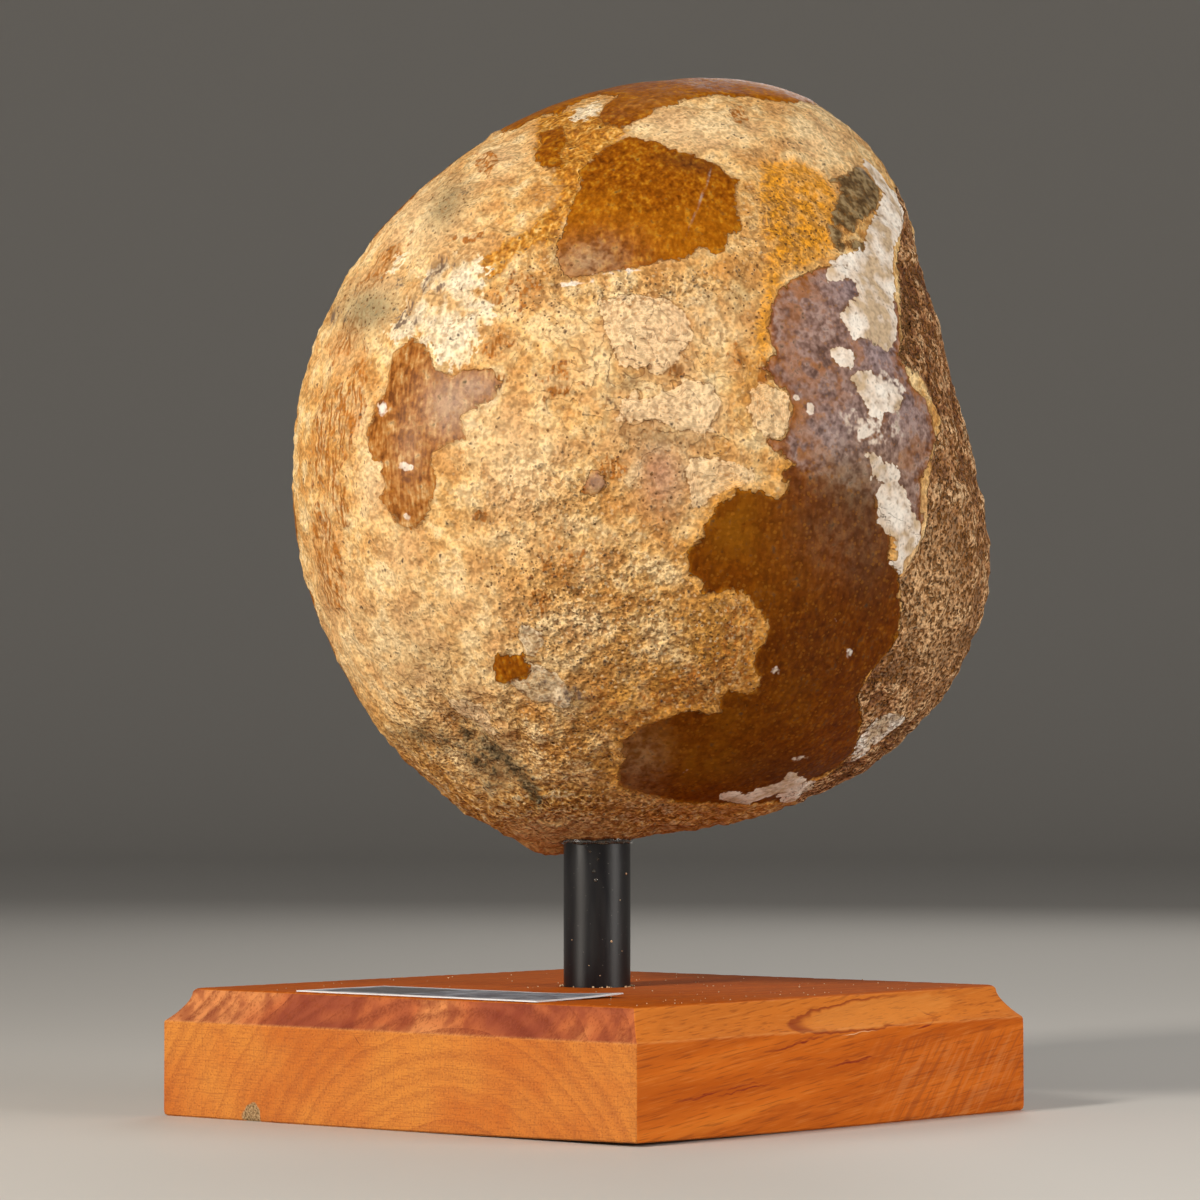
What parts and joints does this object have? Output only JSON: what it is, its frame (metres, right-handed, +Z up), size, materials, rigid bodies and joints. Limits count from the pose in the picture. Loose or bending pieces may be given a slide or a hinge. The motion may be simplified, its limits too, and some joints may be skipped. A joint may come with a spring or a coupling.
{
  "type": "fossil mammoth femur head on stand",
  "caption": "Fossil head of a mammoth femur, the ball of the hip joint, fixed on a short black post in a square moulded wooden base with a small bare paper label.",
  "frame": {"origin": "middle of the base's underside, where the post's axis meets the surface that the stand rests on", "axes": "+Z up along the post, -Y out of the base's front-left face as seen by someone facing the best side of the bone, +X out of its front-right face"},
  "size_m": [0.1774, 0.1525, 0.2597],
  "materials": {
    "fossil_bone": "matt, porous where the skin of the joint has worn away, satin brown where it is left",
    "black_satin": "satin black",
    "clear_glue": "clear and glossy",
    "cherry_wood": "thin satin oil finish with fine saw marks",
    "paper": "matt card"
  },
  "bodies": {
    "root": {"femur_head": "fossil_bone", "post": "black_satin", "glue": "clear_glue", "base": "cherry_wood", "label": "paper"}
  },
  "joints": []
}
